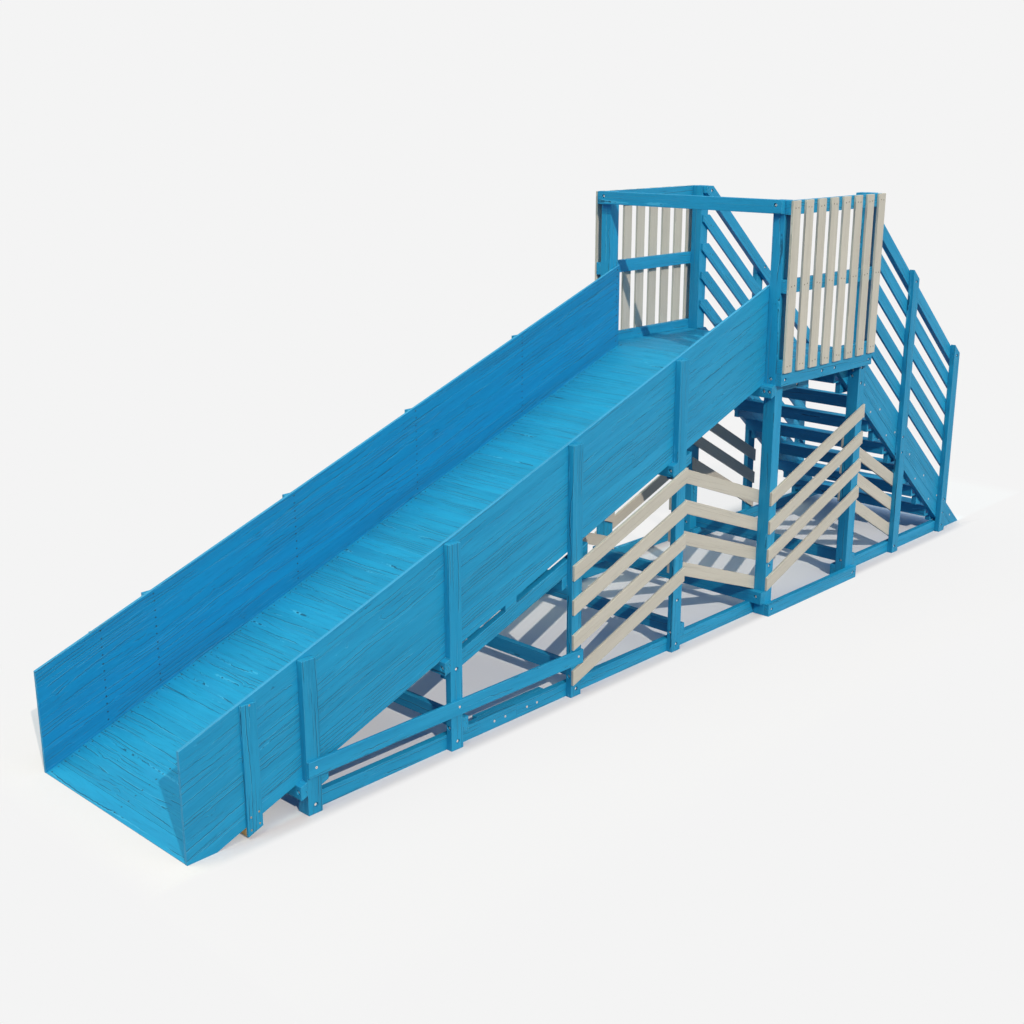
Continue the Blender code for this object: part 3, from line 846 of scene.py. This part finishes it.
railingWork = {
    "boards": 6, "top": 2.409, "pitch": 0.2355, "high": 0.1247, "startX": 2.012,
    "slats": [1.080, 0.865, 0.637], "slatSlope": -0.563, "slatHigh": 0.109,
    "postBolts": [[(2.912, 2.315), (2.903, 1.017), (2.901, 0.883), (2.900, 0.055)],
                  [(3.755, 1.603), (3.758, 0.298), (3.757, 0.171), (3.753, 0.058)]],
    "handrailBolts": [(2.079, 3.019), (2.924, 2.323)],
    "screwX": [towerEnd + 0.04, stairX[0] + 0.045, stairX[1] + 0.045], "screwPair": (-0.018, 0.018),
    "screwFall": 0.3,
}


def stairRailings():
    work = railingWork
    start, end = work["startX"], stairX[1] + board
    for word, side in sides:
        stack = newStack()
        for x, top, places in zip(stairX, sizes["stairTop"], work["postBolts"]):
            outline = [(x, 0), (x + board, 0), (x + board, top - stairSlope * board), (x, top)]
            addBoard(stack, outline, side * wallOut, side * postOut, alongZ,
                     bores=sideBores(places, side * postOut, side))
        for number in range(work["boards"]):   # the handrail, which is thicker, and the boards under it
            level, high = work["top"] - work["pitch"] * number, work["high"]
            outline = below(between(stairLine, start, end, level - high, level), stairLine(level, towerEnd))
            if number == 0:
                addBoard(stack, outline, side * wallOut, side * beamIn, stairAlong,
                         bores=sideBores(work["handrailBolts"], side * beamIn, -side))
                continue
            addBoard(stack, outline, side * wallOut, side * wallIn, stairAlong)
            for x in work["screwX"]:
                z = stairLine(level, x) - high / 2
                for dx in work["screwPair"]:
                    spot = (x + dx, side * wallIn, z - dx * work["screwFall"])
                    screws["stair"].append((spot, (0, -side, 0)))
        for z in work["slats"]:
            addSlope(stack, towerX[1], stairX[0] + board, z, work["slatHigh"], work["slatSlope"],
                     side * wallOut, side * wallIn, creamFace)
        boardPiece(f"stair_railing_{word}", stack)


chuteWalls()
chuteFloor()
exitBattens()
print("chute boarded")
slidePosts()
towerPosts()
joistsAndSplices()
baseFrame()
print("posts, lattice and base frame in place")
platform()
stairStringers()
stairTreads()
stairRailings()
print("platform and stairs in place")

for place, spots in screws.items():
    fastenerPiece(f"{place}_screws", screwWork, spots, screwRecessShadeSteel)
fastenerPiece("frame_bolts", boltWork, bolts, boltSteel)
fastenerPiece("frame_screws", plugWork, pales, paleSteel)
fastenerPiece("batten_screws", screwWork, golds, goldSteel)
fastenerPiece("frame_nuts", nutWork, nuts, boltSteel)
print("fasteners:", sum(len(v) for v in screws.values()), "screws,", len(bolts), "bolts")


# Reach is how far the object goes in X and Y, the In lengths lie inside it, the Fades are widths
# of soft edges, and the Wides are a lamp's size as an angle.
stage = {
    # the floor's two whites are painted light: bluer under the object for the bluish light in its shade,
    # warmer and darker outside the walls to offset the stronger light there
    "floor": "#e8eff3", "openFloorLightOffset": "#dad6d8", "backdrop": "#f4f4f4", "floorSize": 60.0,
    "sun": 2.70, "sunColour": "#ffefdf", "sunFrom": (-0.286, -0.692, 0.522), "sunWide": 0.5,
    "fill": 2.16, "fillColour": "#ffffd0", "fillFrom": (-0.52, 0.12, 0.85), "fillWide": 60,
    "front": 0.76, "frontColour": "#ffedb2", "frontFrom": (0.30, -0.93, 0.21), "frontWide": 40,
    "dome": (0.25, 0.38, 0.62), "bounce": (0.09, 0.13, 0.21),
    "reach": (4.20, 0.86), "fade": 1.5, "leftFade": 0.35, "sideFade": 0.30,
    "keep": 0.12, "cornerX": -3.30, "cornerFade": 0.5, "cornerKeep": 0.55,
    "behindIn": 0.05, "beforeIn": 0.06, "afterIn": 0.10, "edgeFade": 0.08,
    "openInX": 0.13, "openInY": 0.16, "openFade": 0.06,
}


def floorMaterial():
    # Matt white studio floor, painted: it shows the shade under the object and melts into the
    # backdrop round it. The light that it throws back up under the boards is kept low.
    material, tree, out = newMaterial("matt pale studio floor")
    place = addNode(tree, "ShaderNodeTexCoord").outputs["Object"]
    x, y, _ = addNode(tree, "ShaderNodeSeparateXYZ", {0: place}).outputs
    reachX, reachY = stage["reach"]
    most = 1 - stage["keep"]

    def beyond(value, start, far, top=1.0):
        return addNode(tree, "ShaderNodeMapRange", {
            "Value": value, "From Min": start, "From Max": start + far, "To Max": top},
            interpolation_type="SMOOTHSTEP").outputs[0]

    def maths(operation, a, b=0.0):
        return addNode(tree, "ShaderNodeMath", {0: a, 1: b}, operation=operation).outputs[0]

    away = maths("ABSOLUTE", y)
    gone = maths("MAXIMUM", beyond(away, reachY, stage["fade"]), beyond(x, -reachX, -stage["leftFade"]))
    gone = maths("MAXIMUM", gone, beyond(x, reachX, stage["fade"]))
    # shadows stay under the object and behind the far corner of the exit
    keep = maths("ADD", stage["keep"], beyond(x, stage["cornerX"], -stage["cornerFade"], stage["cornerKeep"]))
    behind = maths("MULTIPLY", beyond(y, reachY - stage["behindIn"], stage["sideFade"]),
                   maths("SUBTRACT", 1.0, keep))
    before = beyond(y, stage["beforeIn"] - reachY, -stage["edgeFade"], most)
    after = beyond(x, reachX - stage["afterIn"], stage["sideFade"], most)
    gone = maths("MAXIMUM", maths("MAXIMUM", gone, before), maths("MAXIMUM", behind, after))
    # outside the walls the floor is painted a warmer, darker white to offset the stronger light there;
    # under the object it is painted a bluer white, standing in for the bluish light in the shade there
    outside = maths("MAXIMUM", beyond(away, reachY - stage["openInY"], stage["openFade"]),
                    beyond(x, stage["openInX"] - reachX, -stage["edgeFade"]))
    colour = addNode(tree, "ShaderNodeMix", {"Factor": outside, 6: hexColour(stage["floor"]),
                                             7: hexColour(stage["openFloorLightOffset"])}, data_type="RGBA").outputs[2]
    pale = addNode(tree, "ShaderNodeBsdfDiffuse", {"Color": colour})
    melt = addNode(tree, "ShaderNodeEmission", {"Color": hexColour(stage["backdrop"])})
    dim = addNode(tree, "ShaderNodeEmission", {"Color": (*stage["bounce"], 1.0)})
    seen = addNode(tree, "ShaderNodeMixShader", {0: gone, 1: pale.outputs[0], 2: melt.outputs[0]})
    ray = addNode(tree, "ShaderNodeLightPath").outputs
    direct = maths("MAXIMUM", ray["Is Camera Ray"], ray["Is Glossy Ray"])
    mix = addNode(tree, "ShaderNodeMixShader", {0: direct, 1: dim.outputs[0], 2: seen.outputs[0]})
    tree.links.new(mix.outputs[0], out.inputs["Surface"])
    return material


def makeStage():
    half = stage["floorSize"]
    data = bpy.data.meshes.new("studio_floor")
    corners = [(-half, -half, 0), (half, -half, 0), (half, half, 0), (-half, half, 0)]
    data.from_pydata(corners, [], [(0, 1, 2, 3)])
    data.materials.append(floorMaterial())
    floor = addItem("studio_floor", data)
    # the backdrop is what the camera sees, the dome what lights the shade
    world = bpy.data.worlds.new("studio")
    world.use_nodes = True
    tree = world.node_tree
    tree.nodes.clear()
    out = addNode(tree, "ShaderNodeOutputWorld")
    seen = addNode(tree, "ShaderNodeLightPath").outputs["Is Camera Ray"]
    fill = addNode(tree, "ShaderNodeBackground", {"Color": (*stage["dome"], 1.0)})
    back = addNode(tree, "ShaderNodeBackground", {"Color": hexColour(stage["backdrop"])})
    mix = addNode(tree, "ShaderNodeMixShader", {0: seen, 1: fill.outputs[0], 2: back.outputs[0]})
    tree.links.new(mix.outputs[0], out.inputs["Surface"])
    bpy.context.scene.world = world
    # a hard key over the near side, a soft box high over the exit, a low one in front
    for name, key in (("key_light", "sun"), ("fill_softbox", "fill"), ("front_softbox", "front")):
        lamp = bpy.data.lights.new(name, "SUN")
        lamp.energy = stage[key]
        lamp.color = hexColour(stage[f"{key}Colour"])[:3]
        lamp.angle = math.radians(stage[f"{key}Wide"])
        item = addItem(name, lamp)
        item.rotation_euler = Vector(stage[f"{key}From"]).to_track_quat("Z", "Y").to_euler()


# solved from the photo's post, board and stair edges; focal length and width in its pixels
photoView = {"azimuth": -46.0757, "elevation": 16.4518, "roll": -0.0964, "focal": 1356.18, "wide": 1024,
             "sensor": 36, "at": (-7.3975, -6.1226, 3.6522)}


def makeCamera():
    azimuth, elevation, roll = (math.radians(photoView[k]) for k in ("azimuth", "elevation", "roll"))
    flat = math.cos(elevation)
    back = Vector((math.sin(azimuth) * flat, -math.cos(azimuth) * flat, math.sin(elevation)))
    right = Vector((math.cos(azimuth), math.sin(azimuth), 0))
    up = back.cross(right)
    rolledRight = right * math.cos(roll) + up * math.sin(roll)
    rolledUp = up * math.cos(roll) - right * math.sin(roll)
    facing = Matrix((rolledRight, rolledUp, back)).transposed().to_4x4()
    lens = bpy.data.cameras.new("photo_view")
    lens.sensor_width = photoView["sensor"]
    lens.lens = photoView["focal"] / photoView["wide"] * photoView["sensor"]
    camera = addItem("photo_view", lens)
    camera.matrix_world = Matrix.Translation(photoView["at"]) @ facing
    bpy.context.scene.camera = camera
    bpy.context.scene.view_settings.view_transform = "Standard"


makeStage()
makeCamera()
print("stage set")
